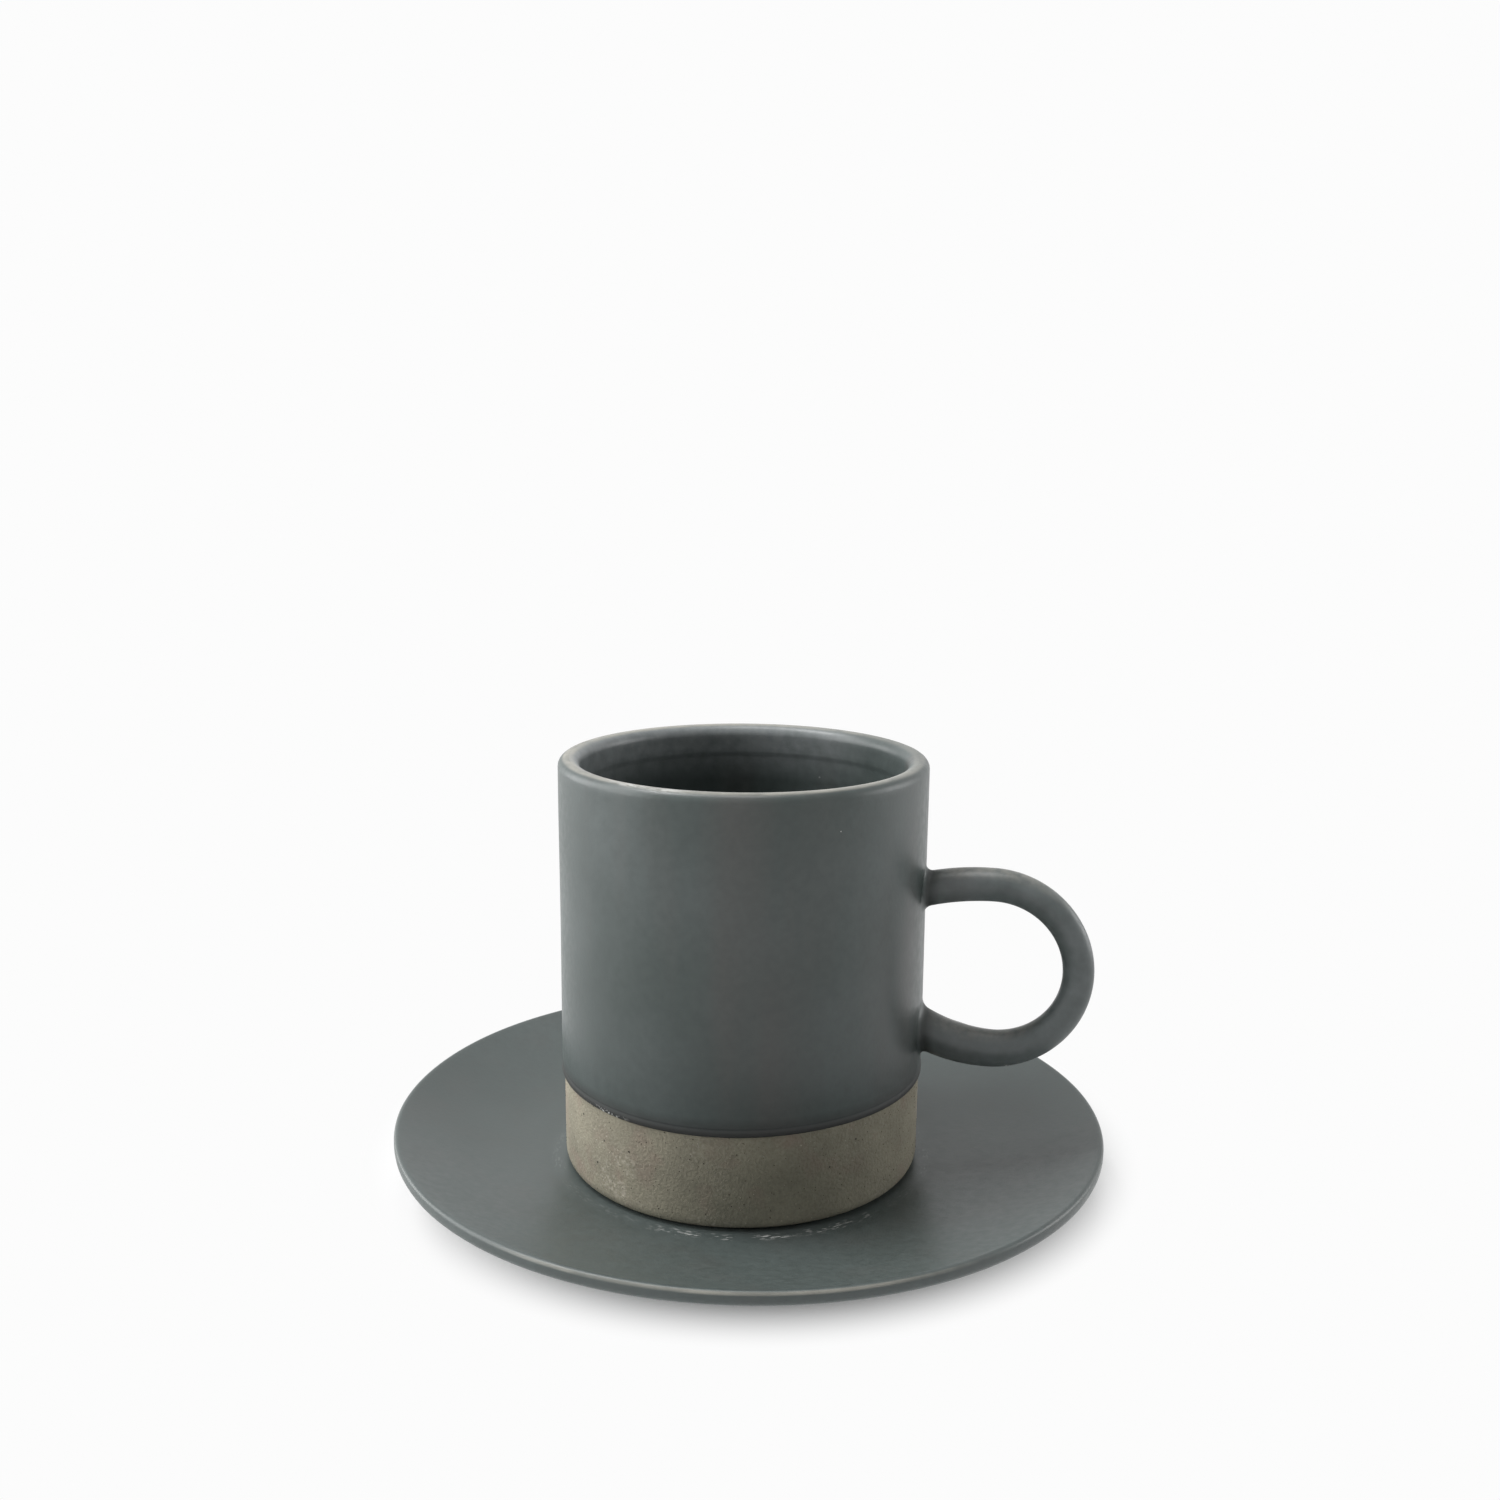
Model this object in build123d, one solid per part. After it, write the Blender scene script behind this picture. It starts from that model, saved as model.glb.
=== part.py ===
"""Espresso cup with saucer: hand-thrown stoneware, dipped in a slate grey glaze.

Millimetres, +Z up. The origin is on the cup's axis, on the surface that the saucer stands on.
The handle points along +X.
"""
from build123d import *
from math import cos, pi, radians, sin, tan
import os

# Cup, bare clay. Heights are measured up from the face that the cup stands on.
CUP_HEIGHT = 67.4             # foot to lip
CUP_RADIUS = 29.5             # outside of the wall, which is thrown straight
CUP_WALL = 2.7                # thickness of the wall
CUP_FLOOR = 5.2               # top of the floor, above the face that the cup stands on
CUP_INNER_CORNER = 7.5        # radius where the inside wall runs into the floor
CUP_FOOT_EDGE = 1.9           # rounded outside edge of the foot
FOOT_RING_WIDTH = 5.0         # flat band under the cup that it stands on
FOOT_RECESS = 1.1             # hollow turned out inside that band
FOOT_RECESS_RUN = 1.6         # width of the turned slope from the band up into the hollow

# Handle, bare clay: a pulled coil, thick at its ends and thin at the crown of its loop.
HANDLE_LOOP_RADIUS = 13.65    # half circle of the centre line
HANDLE_LOOP_HEIGHT = 35.35    # height of that half circle's centre
HANDLE_REACH = 24.95          # crown of the centre line, out from the wall
HANDLE_UPPER_DROP = 2.1       # how far the upper arm falls from the top of the loop to the wall
HANDLE_LOWER_RISE = 3.5       # how far the lower arm climbs from the bottom of the loop to the wall
HANDLE_UPPER_DIAMETER = 4.7   # at the wall
HANDLE_CROWN_DIAMETER = 4.1
HANDLE_LOWER_DIAMETER = 5.7   # at the wall
HANDLE_FLARE = 1.2            # radius of the clay smoothed from the wall onto each end of the coil

# Glaze: one thickness all over, but for a thicker roll at the edge of the dip.
GLAZE = 0.4
GLAZE_LINE = 15.6             # height on the cup where the dip stopped
GLAZE_ROLL = 0.25             # how far the edge of the dip stands proud of the rest of the coat
GLAZE_ROLL_HEIGHT = 1.6
GLAZE_POOL = 0.2              # how much larger the coat's curve is where it pools round the coil's ends

# Saucer, bare clay.
SAUCER_RADIUS = 58.2
SAUCER_FLOOR = 3.6            # thickness under the cup
SAUCER_EDGE = 1.6             # thickness at the edge
SAUCER_RISE = 7.3             # top of the edge above the flat of the well
SAUCER_DISH = 0.9             # how far the rising part sags below a straight line
WELL_PLAY = 2.4               # room all round the cup's foot in the well
WELL_DEPTH = 0.5              # step from the well up to the rising part
WELL_STEP_RUN = 0.8
SAUCER_RING_RADIUS = 31.0     # outside of the foot ring
SAUCER_RING_WIDTH = 4.6
SAUCER_RING_HEIGHT = 1.9
SAUCER_RING_LEAN = 0.7        # how much wider the ring is at its root, on each side
SAUCER_WIPED_BAND = 0.9       # clay left bare round the ring, where the coat was wiped back

# Roundings are turned as narrow flats, so that the solids stay light.
EDGE_FLATS = 4                # flats round the half turn of the lip and of the saucer's edge
FOOT_FLATS = 3                # the same round the quarter turn of the cup's foot
CORNER_FLATS = 2              # the same round the quarter turn inside the cup
LOOP_RINGS = 10               # straight lengths round the coil's half circle
ARM_RINGS = 2                 # the same along each arm
FLARE_RINGS = 2               # the same along each flare

ROLL_CREST = 0.4              # where the roll at the glaze line stands out furthest, as a share of its height
WELL_STEP_SHIFT = 0.3         # how far in the coat's step stands from the clay's, as a share of the coat
CLEAR = 10.0                  # how far a cutting outline runs past what it cuts

# Places that follow from the sizes.
saucer_floor_top = SAUCER_RING_HEIGHT + SAUCER_FLOOR
cup_seat = saucer_floor_top + GLAZE                   # glazed face of the well, where the cup stands
loop_x = CUP_RADIUS + HANDLE_REACH - HANDLE_LOOP_RADIUS
wall_middle = CUP_RADIUS - CUP_WALL / 2


def rounded_corner(before, corner, after, radius, flats):
    """Points on an arc that rounds a corner of an outline, from one tangent point to the other."""
    back = (Vector(before) - Vector(corner)).normalized()
    on = (Vector(after) - Vector(corner)).normalized()
    half_angle = radians(back.get_angle(on)) / 2
    centre = Vector(corner) + (back + on).normalized() * (radius / sin(half_angle))
    spoke = Vector(corner) + back * (radius / tan(half_angle)) - centre
    turn = 180 - 2 * half_angle * 180 / pi
    if back.cross(on).Z > 0:
        turn = -turn
    return [centre + spoke.rotate(Axis.Z, turn * step / flats) for step in range(flats + 1)]


def round_edge(start, end, flats):
    """Points on the half circle that closes a wall, turning anticlockwise from its one face to the other."""
    centre = (Vector(start) + Vector(end)) / 2
    spoke = Vector(start) - centre
    return [centre + spoke.rotate(Axis.Z, 180 * step / flats) for step in range(flats + 1)]


def turned(outline):
    """Solid of revolution about +Z. Its seam is at the back, away from the handle."""
    return Rot(0, 0, 180) * revolve(Plane.XZ * outline, Axis.Z, 360)


def cup_section(coat=0.0):
    """The cup's section from the axis outwards: the clay, or the clay grown by a coat."""
    ring_inner = CUP_RADIUS - CUP_FOOT_EDGE - FOOT_RING_WIDTH
    inside = CUP_RADIUS - CUP_WALL - coat
    outside = CUP_RADIUS + coat
    lip = CUP_HEIGHT - CUP_WALL / 2
    floor_middle = (0, CUP_FLOOR + coat)
    recess_edge = (ring_inner - FOOT_RECESS_RUN, FOOT_RECESS - coat)
    foot = rounded_corner((ring_inner, -coat), (outside, -coat), (outside, lip), CUP_FOOT_EDGE + coat, FOOT_FLATS)
    corner = rounded_corner((inside, lip), (inside, CUP_FLOOR + coat), floor_middle,
                            CUP_INNER_CORNER - coat, CORNER_FLATS)
    return make_face(Polyline(
        (0, FOOT_RECESS - coat), recess_edge, (ring_inner, -coat), *foot,
        *round_edge((outside, lip), (inside, lip), EDGE_FLATS), *corner, floor_middle, close=True))


def dipped_cup_section():
    """Clay and coat above the glaze line outside, over the lip, and all over the inside."""
    inside_floor = (FOOT_RECESS + CUP_FLOOR) / 2
    roll_top = GLAZE_LINE + GLAZE_ROLL_HEIGHT
    outside = CUP_RADIUS + CLEAR
    bare = make_face(Polyline(
        (0, -CLEAR), (0, inside_floor), (wall_middle, inside_floor), (wall_middle, roll_top),
        (outside, roll_top), (outside, -CLEAR), close=True))
    crest = (CUP_RADIUS + GLAZE + GLAZE_ROLL, GLAZE_LINE + GLAZE_ROLL_HEIGHT * ROLL_CREST)
    roll = make_face(Polyline(
        (wall_middle, GLAZE_LINE), (CUP_RADIUS, GLAZE_LINE), crest, (CUP_RADIUS + GLAZE, roll_top),
        (wall_middle, roll_top), close=True))
    return (cup_section(GLAZE) - bare) + roll


def handle_path():
    """Centre line of the coil, from the middle of the wall out and round and back into it."""
    upper = (loop_x, HANDLE_LOOP_HEIGHT + HANDLE_LOOP_RADIUS)
    crown = (loop_x + HANDLE_LOOP_RADIUS, HANDLE_LOOP_HEIGHT)
    lower = (loop_x, HANDLE_LOOP_HEIGHT - HANDLE_LOOP_RADIUS)
    upper_root = (wall_middle, upper[1] - HANDLE_UPPER_DROP)
    lower_root = (wall_middle, lower[1] + HANDLE_LOWER_RISE)
    return Plane.XZ * Wire([
        TangentArc(upper, upper_root, tangent=(-1, 0)).reversed(reconstruct=True),
        ThreePointArc(upper, crown, lower),
        TangentArc(lower, lower_root, tangent=(-1, 0)),
    ])


def flared_end(coat, flare):
    """Rings at one end of the coil, from inside the wall outwards: place along the coil, growth in radius."""
    rings = [(0, 0)]
    for step in range(FLARE_RINGS + 1):
        turn = pi / 2 * step / FLARE_RINGS
        rings.append((CUP_WALL / 2 + coat + flare * (1 - cos(turn)), flare * (1 - sin(turn))))
    return rings


def coil(coat, flare):
    """The coil with its flared ends, grown by a coat, in straight lengths from ring to ring."""
    path = handle_path()
    upper_arm, loop, lower_arm = [edge.length for edge in path.edges()]
    end = flared_end(coat, flare)
    bare_from = end[-1][0]
    upper = [(bare_from + (upper_arm - bare_from) * step / ARM_RINGS, 0) for step in range(1, ARM_RINGS)]
    lower = [(bare_from + (lower_arm - bare_from) * step / ARM_RINGS, 0) for step in range(1, ARM_RINGS)]
    crown = [(upper_arm + loop * step / LOOP_RINGS, 0) for step in range(LOOP_RINGS + 1)]
    lower_half = [(path.length - place, growth) for place, growth in reversed(end + lower)]
    sections = []
    for place, growth in end + upper + crown + lower_half:
        share = place / path.length
        root_diameter = HANDLE_UPPER_DIAMETER if share < 0.5 else HANDLE_LOWER_DIAMETER
        diameter = HANDLE_CROWN_DIAMETER + (root_diameter - HANDLE_CROWN_DIAMETER) * cos(pi * share) ** 2
        along = path % share
        if place < bare_from:
            along = Vector(1, 0, 0)
        if path.length - place < bare_from:
            along = Vector(-1, 0, 0)
        ring = Plane(origin=path @ share, x_dir=(0, 1, 0), z_dir=along)
        sections.append(ring * Circle(diameter / 2 + coat + growth))
    return loft(sections, ruled=True)


def saucer_section(coat=0.0):
    """The saucer's section from the axis outwards: the clay, or the clay grown by a coat."""
    well_radius = CUP_RADIUS + WELL_PLAY
    step_foot = (well_radius - coat * WELL_STEP_SHIFT, saucer_floor_top + coat)
    step_top = (step_foot[0] + WELL_STEP_RUN, step_foot[1] + WELL_DEPTH)
    edge_top = (SAUCER_RADIUS - SAUCER_EDGE / 2, saucer_floor_top + SAUCER_RISE + coat)
    edge_bottom = (edge_top[0], edge_top[1] - SAUCER_EDGE - 2 * coat)
    ring_root = (SAUCER_RING_RADIUS + SAUCER_RING_LEAN, SAUCER_RING_HEIGHT - coat)
    ring_inner = SAUCER_RING_RADIUS - SAUCER_RING_WIDTH
    upper_sag = ((step_top[0] + edge_top[0]) / 2, (step_top[1] + edge_top[1]) / 2 - SAUCER_DISH)
    return make_face(Polyline(
        (0, saucer_floor_top + coat), (0, SAUCER_RING_HEIGHT), (ring_inner - SAUCER_RING_LEAN, SAUCER_RING_HEIGHT),
        (ring_inner, 0), (SAUCER_RING_RADIUS, 0), ring_root,
        *round_edge(edge_bottom, edge_top, EDGE_FLATS), upper_sag, step_top, step_foot, close=True))


def dipped_saucer_section():
    """Clay and coat over the face, the edge and the underside, as far as the band wiped round the ring."""
    inside_floor = SAUCER_RING_HEIGHT + SAUCER_FLOOR / 2
    wiped = SAUCER_RING_RADIUS + SAUCER_RING_LEAN + SAUCER_WIPED_BAND
    bare = make_face(Polyline(
        (0, -CLEAR), (0, inside_floor), (wiped, inside_floor), (wiped, -CLEAR), close=True))
    return saucer_section(GLAZE) - bare


cup_body = turned(cup_section())
cup_handle = coil(0, HANDLE_FLARE) - cup_body
dipped_cup = turned(dipped_cup_section()) + coil(GLAZE, HANDLE_FLARE + GLAZE_POOL)
cup_glaze = dipped_cup - cup_body - cup_handle
saucer_body = turned(saucer_section())
saucer_glaze = turned(dipped_saucer_section()) - saucer_body

on_saucer = Pos(0, 0, cup_seat)
nodes = {
    "cup_body": on_saucer * cup_body,
    "cup_handle": on_saucer * cup_handle,
    "cup_glaze": on_saucer * cup_glaze,
    "saucer_body": saucer_body,
    "saucer_glaze": saucer_glaze,
}

os.makedirs("parts", exist_ok=True)
for name, shape in nodes.items():
    export_step(shape, f"parts/{name}.step")
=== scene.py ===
"""Looks of an espresso cup and its saucer: thrown stoneware under a satin slate glaze.

Lengths are in metres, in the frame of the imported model: +Z up, the cup on the Z axis, its handle
towards +X. A section is a row of points, each its radius and its height.
"""

from math import atan2, ceil, cos, pi, radians, sin, sqrt, tan, tau

import bmesh
import bpy
from bpy.props import FloatProperty, FloatVectorProperty, IntProperty, PointerProperty
from mathutils import Matrix, Vector


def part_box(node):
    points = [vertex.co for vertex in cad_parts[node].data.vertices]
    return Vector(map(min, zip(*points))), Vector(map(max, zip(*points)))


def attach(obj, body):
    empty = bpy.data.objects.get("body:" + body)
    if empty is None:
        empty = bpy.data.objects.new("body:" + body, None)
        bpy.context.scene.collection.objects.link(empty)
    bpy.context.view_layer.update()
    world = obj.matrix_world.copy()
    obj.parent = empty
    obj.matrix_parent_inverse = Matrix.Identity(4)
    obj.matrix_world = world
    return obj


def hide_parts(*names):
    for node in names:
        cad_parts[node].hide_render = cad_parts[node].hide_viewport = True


bl_info = {
    "name": "Espresso cup and saucer",
    "version": (1, 0, 0),
    "blender": (4, 5, 0),
    "location": "View3D > Sidebar > Ware",
    "description": "Builds the surfaces of a stoneware cup and saucer round a packed model",
    "category": "Object",
}

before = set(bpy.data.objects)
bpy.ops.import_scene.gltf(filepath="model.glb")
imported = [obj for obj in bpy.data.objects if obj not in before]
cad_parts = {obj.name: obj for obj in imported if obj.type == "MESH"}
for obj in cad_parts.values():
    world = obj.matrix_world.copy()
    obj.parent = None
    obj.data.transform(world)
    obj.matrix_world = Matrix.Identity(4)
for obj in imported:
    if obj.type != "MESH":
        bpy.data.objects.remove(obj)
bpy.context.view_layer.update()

cup_clay_low, cup_clay_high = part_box("cup_body")
_, cup_coat_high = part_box("cup_glaze")
_, saucer_clay_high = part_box("saucer_body")

COAT = cup_coat_high.z - cup_clay_high.z  # thickness of the glaze
FOOT = cup_clay_low.z  # plane that the cup stands on
CUP_RADIUS = cup_clay_high.y  # of the clay, as the next three are
CUP_TOP = cup_clay_high.z
SAUCER_RADIUS = saucer_clay_high.y
SAUCER_TOP = saucer_clay_high.z


def linear(code):
    """An sRGB colour written as hex, as linear red, green and blue."""
    shares = [int(code[place:place + 2], 16) / 255 for place in (1, 3, 5)]
    return [share / 12.92 if share <= 0.04045 else ((share + 0.055) / 1.055) ** 2.4 for share in shares]


def size(name, default, description):
    """A length that a user can set."""
    return FloatProperty(
        name=name, description=description, default=default, min=0, precision=5, unit="LENGTH")


def offset(name, default, description):
    """A length in each direction that a user can set."""
    return FloatVectorProperty(
        name=name, description=description, default=default, precision=5, subtype="XYZ", unit="LENGTH")


def colour(name, code, description):
    """A colour that a user can set."""
    return FloatVectorProperty(
        name=name, description=description, default=linear(code), min=0, max=1, size=3, subtype="COLOR")


class CupSizes(bpy.types.PropertyGroup):
    wall: size("Wall", 0.0027, "Thickness of the clay wall")
    floor: size("Floor", 0.0052, "Top of the clay floor above the foot")
    inner_corner: size("Inner corner", 0.0075, "Radius where the inside wall runs into the floor")
    foot_edge: size("Foot edge", 0.0019, "Rounding of the foot's outside edge")
    foot_ring: size("Foot ring", 0.005, "Width of the band that the cup stands on")
    recess: size("Recess", 0.0011, "Depth of the hollow turned out inside the foot ring")
    recess_run: size("Recess slope", 0.0016, "Width of the slope from the ring into the hollow")
    glaze_line: size("Glaze line", 0.0156, "Lower edge of the dip, above the foot")
    lip_outside: size("Lip outside", 0.0014, "Rounding of the glazed lip's outside edge")
    lip_inside: size("Lip inside", 0.0018, "Rounding of the glazed lip's inside edge")
    roll: size("Roll", 0.00007, "How far the edge of the dip stands proud of the coat")
    roll_height: size("Roll height", 0.0013, "Height of the thick edge of the dip")
    ring_step: size("Inner ring", 0.00014, "Depth of the step that the fingers left inside, under the lip")
    ring_drop: size("Inner ring drop", 0.0048, "How far under the lip that step is")


class HandleSizes(bpy.types.PropertyGroup):
    loop_radius: size("Loop radius", 0.01365, "Radius of the centre line's half circle")
    loop_height: size("Loop height", 0.03535, "Height of the half circle's centre above the foot")
    reach: size("Reach", 0.02495, "Crown of the centre line, out from the clay wall")
    upper_drop: size("Upper drop", 0.0021, "Fall of the upper arm from the top of the loop to the wall")
    lower_rise: size("Lower rise", 0.0035, "Rise of the lower arm from the foot of the loop to the wall")
    upper_diameter: size("Upper diameter", 0.0047, "Clay coil where it meets the wall above")
    crown_diameter: size("Crown diameter", 0.0041, "Clay coil at the crown of the loop")
    lower_diameter: size("Lower diameter", 0.0057, "Clay coil where it meets the wall below")
    flare: size("Flare", 0.0012, "Radius of the curve from the wall onto the coil")


class SaucerSizes(bpy.types.PropertyGroup):
    floor: size("Floor", 0.0036, "Thickness of the clay under the cup")
    edge: size("Edge", 0.0016, "Thickness of the clay at the edge")
    edge_above: size("Edge above", 0.0006, "Rounding of the glazed edge, above")
    edge_below: size("Edge below", 0.0011, "Rounding of the glazed edge, below")
    dish: size("Dish", 0.0009, "How far the rising part sags below a straight line")
    well_play: size("Well play", 0.0024, "Room round the cup's foot in the well")
    well_depth: size("Well depth", 0.0005, "Step from the well up to the rising part")
    well_run: size("Well step", 0.0035, "Width of that step")
    well_softness: size("Well softness", 0.018, "Rounding of that step, above and below")
    ring_radius: size("Ring radius", 0.031, "Outside of the foot ring")
    ring_width: size("Ring width", 0.0046, "Width of the foot ring where it stands")
    ring_height: size("Ring height", 0.0019, "Height of the foot ring")
    ring_lean: size("Ring lean", 0.0007, "How much wider the ring is at its root, on each side")
    wiped: size("Wiped band", 0.0009, "Clay left bare round the ring")


class HandWork(bpy.types.PropertyGroup):
    swell: size("Swell", 0.00012, "How far a turned wall strays from true")
    wave: size("Wave", 0.035, "Length of the waves in a turned wall")
    pull: FloatProperty(
        name="Pull", description="Ridges that the hand leaves along the handle, as a share of its radius",
        default=0.03, min=0, max=0.1)
    line_stray: size("Glaze line stray", 0.00035, "How far the edge of the dip strays from level")
    saucer_lean: offset("Saucer lean", (-0.00016, -0.00053, 0), "Lift of its edge towards +X and +Y")
    saucer_shift: offset("Saucer shift", (0.00126, 0.00029, 0), "How far its edge was drawn to one side")
    seed: IntProperty(name="Seed", description="Chooses among like irregularities", default=7)


class Finish(bpy.types.PropertyGroup):
    glaze: colour("Glaze", "#515958", "Slate glaze over most of the ware")
    glaze_deep: colour("Glaze, deep", "#444D4B", "Slate glaze where it lies thicker")
    glaze_warm: colour("Glaze, warm", "#555351", "Slate glaze in the runs down the walls")
    # also painted shade, in the creases where the handle leaves the wall
    glaze_pooled: colour("Glaze, pooled", "#2A2A29", "Slate glaze where it gathers at the edge of the dip")
    # also painted light, on the upper inside wall and over the handle
    glaze_inner: colour("Glaze, inner", "#868B8C", "Slate glaze where it is thin under the lip")
    # also a painted highlight along the lip and the saucer's front edge, and painted light on the top of the
    # handle
    glaze_thin: colour("Glaze, thin", "#A3A198", "Slate glaze where it runs thin over an edge")
    # painted shade in the crease above the roll of the dip, over glaze lying thick there
    glaze_crease: colour("Glaze, crease", "#1E2223", "Slate glaze in the crease above the edge of the dip")
    clay: colour("Clay", "#A09A88", "Bare fired stoneware")
    clay_dark: colour("Clay, dark", "#878374", "Darker clouds in the stoneware")
    clay_rosy: colour("Clay, rosy", "#99877B", "Rosy clouds, where the kiln's air was short")
    pit: colour("Pits", "#4E4A41", "Small pits in the stoneware")
    clay_pale: colour("Clay, pale", "#C2BAAB", "Scuffs and pale grog in the stoneware")
    # also painted glints on the worn part of the lip
    speck: colour("Specks", "#CACBC8", "Pale marks where the glaze is chipped or worn")


class Ware(bpy.types.PropertyGroup):
    cup: PointerProperty(type=CupSizes)
    handle: PointerProperty(type=HandleSizes)
    saucer: PointerProperty(type=SaucerSizes)
    hand: PointerProperty(type=HandWork)
    finish: PointerProperty(type=Finish)


# Nodes and modifiers

FAMILIES = ("ShaderNode", "GeometryNode", "FunctionNode", "")


def add(tree, kind, inputs=(), **settings):
    """Adds a node of this kind, of whichever family, with its settings. Its inputs, by name or in order,
    are values, nodes or sockets."""
    node = tree.nodes.new(next(family + kind for family in FAMILIES if hasattr(bpy.types, family + kind)))
    for name, value in settings.items():
        setattr(node, name, value)
    for name, value in inputs.items() if isinstance(inputs, dict) else enumerate(inputs):
        if isinstance(value, bpy.types.Node):
            value = value.outputs[0]
        if isinstance(value, bpy.types.NodeSocket):
            tree.links.new(value, node.inputs[name])
        else:
            node.inputs[name].default_value = value
    return node


def mask(*parts):
    """The product of its parts. A part is a node, a socket, a straight ramp or, after the first, a number.
    A ramp is its value, where it starts and ends, and what it gives there, if not nought and one."""
    result = None
    for part in parts:
        if isinstance(part, tuple):
            part = add(part[0].id_data, "MapRange", part)
        if result is not None:
            part = add(result.id_data, "Math", (result, part), operation="MULTIPLY")
        result = part
    return result


def from_axis(place):
    """The coordinates of a place, the level part of them, and the distance from the Z axis."""
    tree = place.id_data
    split = add(tree, "SeparateXYZ", [place]).outputs
    level = add(tree, "CombineXYZ", (split["X"], split["Y"]))
    radius = add(tree, "VectorMath", [level], operation="LENGTH").outputs["Value"]
    return split, level, radius


SOCKETS = {int: "NodeSocketInt", float: "NodeSocketFloat", tuple: "NodeSocketVector"}
HAND_INPUTS = {"Swell": 0.0001, "Wave": 0.03, "Lean": (0.0, 0.0, 0.0), "Shift": (0.0, 0.0, 0.0),
               "Drawn from": 0.03, "Drawn to": 0.06, "Seed": 1}
CUP_COLUMNS = 216  # points round the cup
SAUCER_COLUMNS = 288  # round the clay of the saucer
SAUCER_COAT_COLUMNS = 360
COIL_SIDES = 36  # round the clay of the handle
GRAIN_LEAST = (0.4, 0.4, 0.25)  # shares of a grain's size, along the wall and out of it
GRAIN_MOST = (1.5, 1.2, 0.6)


def new_tree(name, defaults):
    """A geometry tree with these inputs, a geometry and a material. It returns their sockets too."""
    tree = bpy.data.node_groups.new(name, "GeometryNodeTree")
    face = tree.interface
    face.new_socket("Geometry", in_out="OUTPUT", socket_type="NodeSocketGeometry")
    face.new_socket("Geometry", in_out="INPUT", socket_type="NodeSocketGeometry")
    for label, default in defaults.items():
        face.new_socket(label, in_out="INPUT", socket_type=SOCKETS[type(default)]).default_value = default
    face.new_socket("Material", in_out="INPUT", socket_type="NodeSocketMaterial")
    return tree, {socket.name: socket for socket in add(tree, "NodeGroupInput").outputs}


def close_tree(tree, given, geometry):
    """Ends a tree in plain geometry with its material."""
    real = add(tree, "RealizeInstances", [geometry])
    painted = add(tree, "SetMaterial", {"Geometry": real, "Material": given["Material"]})
    add(tree, "NodeGroupOutput", [painted])
    return tree


def hand_worked(tree, geometry, given):
    """Moves points as a hand at the wheel does: walls swell, and a wide edge leans and is drawn aside."""
    place = add(tree, "InputPosition")
    _, level, radius = from_axis(place)
    outwards = add(tree, "VectorMath", [level], operation="NORMALIZE")
    closeness = add(tree, "Math", (1.0, given["Wave"]), operation="DIVIDE")
    noise = add(tree, "TexNoise", {"Vector": place, "W": given["Seed"], "Scale": closeness, "Detail": 1.0},
                noise_dimensions="4D")
    swell = mask((noise, 0.2, 0.8, -1.0, 1.0), given["Swell"])
    push = add(tree, "VectorMath", {0: outwards, "Scale": swell}, operation="SCALE")
    reach = add(tree, "MapRange", (radius, given["Drawn from"], given["Drawn to"]),
                interpolation_type="SMOOTHSTEP")
    lift = add(tree, "VectorMath", (outwards, given["Lean"]), operation="DOT_PRODUCT")
    rise = add(tree, "CombineXYZ", {2: lift.outputs["Value"]})
    drawn = add(tree, "VectorMath", (rise, given["Shift"]), operation="ADD")
    drawn = add(tree, "VectorMath", {0: drawn, "Scale": reach}, operation="SCALE")
    offset = add(tree, "VectorMath", (push, drawn), operation="ADD")
    return add(tree, "SetPosition", {"Geometry": geometry, "Offset": offset})


def turned_tree():
    """Sweeps a section, which comes in as a row of points, round the Z axis."""
    tree, given = new_tree("Turned ware", {"Columns": CUP_COLUMNS, **HAND_INPUTS})
    rows = add(tree, "AttributeDomainSize", [given["Geometry"]], component="MESH").outputs
    seam = add(tree, "Math", (given["Columns"], 1.0), operation="ADD")
    grid = add(tree, "MeshGrid", {"Vertices X": rows["Point Count"], "Vertices Y": seam})
    index = add(tree, "InputIndex")
    row = add(tree, "Math", (index, seam), operation="DIVIDE")
    row = add(tree, "Math", [row], operation="FLOOR")
    column = add(tree, "Math", (index, seam), operation="MODULO")
    place = add(tree, "InputPosition")
    sampled = add(tree, "SampleIndex",
                  {"Geometry": given["Geometry"], "Value": place, "Index": row}, data_type="FLOAT_VECTOR")
    turn = add(tree, "Math", (column, given["Columns"]), operation="DIVIDE")
    swept = add(tree, "VectorRotate", {"Vector": sampled, "Angle": mask(turn, tau)}, rotation_type="Z_AXIS")
    turned = add(tree, "SetPosition", {"Geometry": grid, "Position": swept})
    worked = hand_worked(tree, turned, given)
    closed = add(tree, "MergeByDistance", {"Geometry": worked, "Distance": 1e-6})
    return close_tree(tree, given, add(tree, "SetShadeSmooth", [closed]))


def hand_tree():
    """Gives a finished mesh the same irregularities as the turned pieces beside it."""
    tree, given = new_tree("Hand work", HAND_INPUTS)
    return close_tree(tree, given, hand_worked(tree, given["Geometry"], given))


def coil_tree():
    """Draws a line of points out into a round coil, thick at its ends and thin in its middle."""
    tree, given = new_tree("Pulled coil", {
        "Start radius": 0.0026, "Middle radius": 0.002, "End radius": 0.0026, "Sides": COIL_SIDES})
    share = add(tree, "SplineParameter").outputs["Factor"]
    wave = add(tree, "Math", [mask(share, pi)], operation="COSINE")
    second = add(tree, "Math", (share, 0.5), operation="GREATER_THAN")
    root = add(tree, "Mix", {0: second, 2: given["Start radius"], 3: given["End radius"]})
    radius = add(tree, "Mix", {0: mask(wave, wave), 2: given["Middle radius"], 3: root})
    line = add(tree, "MeshToCurve", [given["Geometry"]])
    ring = add(tree, "CurvePrimitiveCircle", {"Resolution": given["Sides"], "Radius": 1.0})
    tube = add(tree, "CurveToMesh", (line, ring, radius, True))
    return close_tree(tree, given, add(tree, "SetShadeSmooth", [tube]))


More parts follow.
